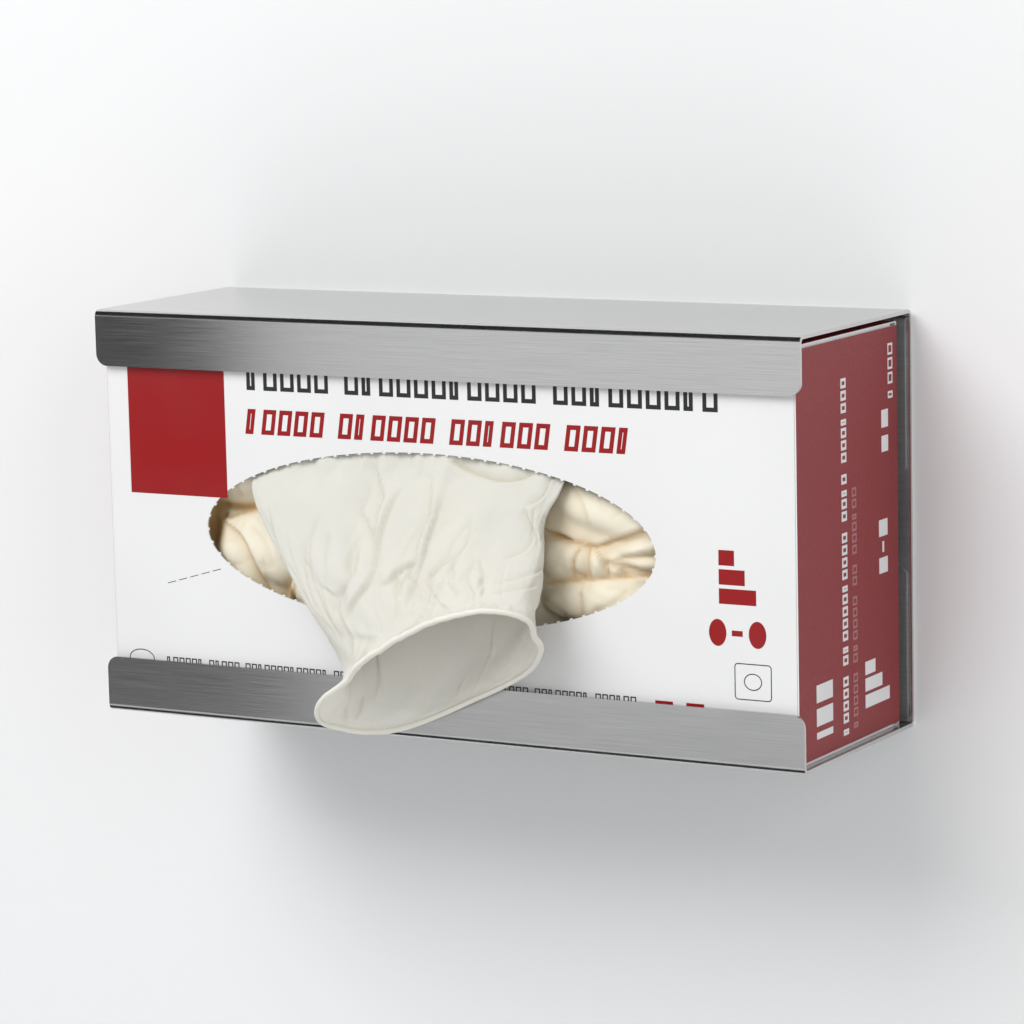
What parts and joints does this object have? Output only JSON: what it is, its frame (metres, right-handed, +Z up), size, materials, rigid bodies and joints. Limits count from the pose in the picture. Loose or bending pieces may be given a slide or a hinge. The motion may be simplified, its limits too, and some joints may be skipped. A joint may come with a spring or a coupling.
{
  "type": "disposable glove dispenser",
  "caption": "Wall-mounted folded steel channel holding a card carton of disposable latex gloves, with a glove half pulled out of the oval opening.",
  "frame": {"origin": "centre of the holder's outer back face, where it lies against the wall", "axes": "+X to the right along the holder's length, +Y into the wall so that the front looks towards -Y, +Z up"},
  "size_m": [0.25, 0.1137, 0.131],
  "materials": {
    "stainless_sheet": "brushed along the length",
    "printed_card": "satin printed card",
    "red_card": "satin printed card",
    "latex": "matt natural latex"
  },
  "bodies": {
    "loaded_holder": {"holder": "stainless_sheet", "carton": "printed_card", "glove_pulled": "latex", "glove_next_left": "latex", "glove_next_right": "latex", "glove_pack_front": "latex", "glove_pack_middle": "latex", "glove_pack_rear": "latex"},
    "right_end": {"right_end_flap": "red_card"},
    "left_end": {"left_end_flap": "red_card"}
  },
  "joints": [
    {"name": "right_end_hinge", "type": "hinge", "parent": "loaded_holder", "child": "right_end", "pos_m": [0.1225, -0.078, -0.00105], "axis": [0, 0, -1], "range_deg": [0, 90]},
    {"name": "left_end_hinge", "type": "hinge", "parent": "loaded_holder", "child": "left_end", "pos_m": [-0.1225, -0.078, -0.00105], "axis": [0, 0, 1], "range_deg": [0, 90]}
  ]
}
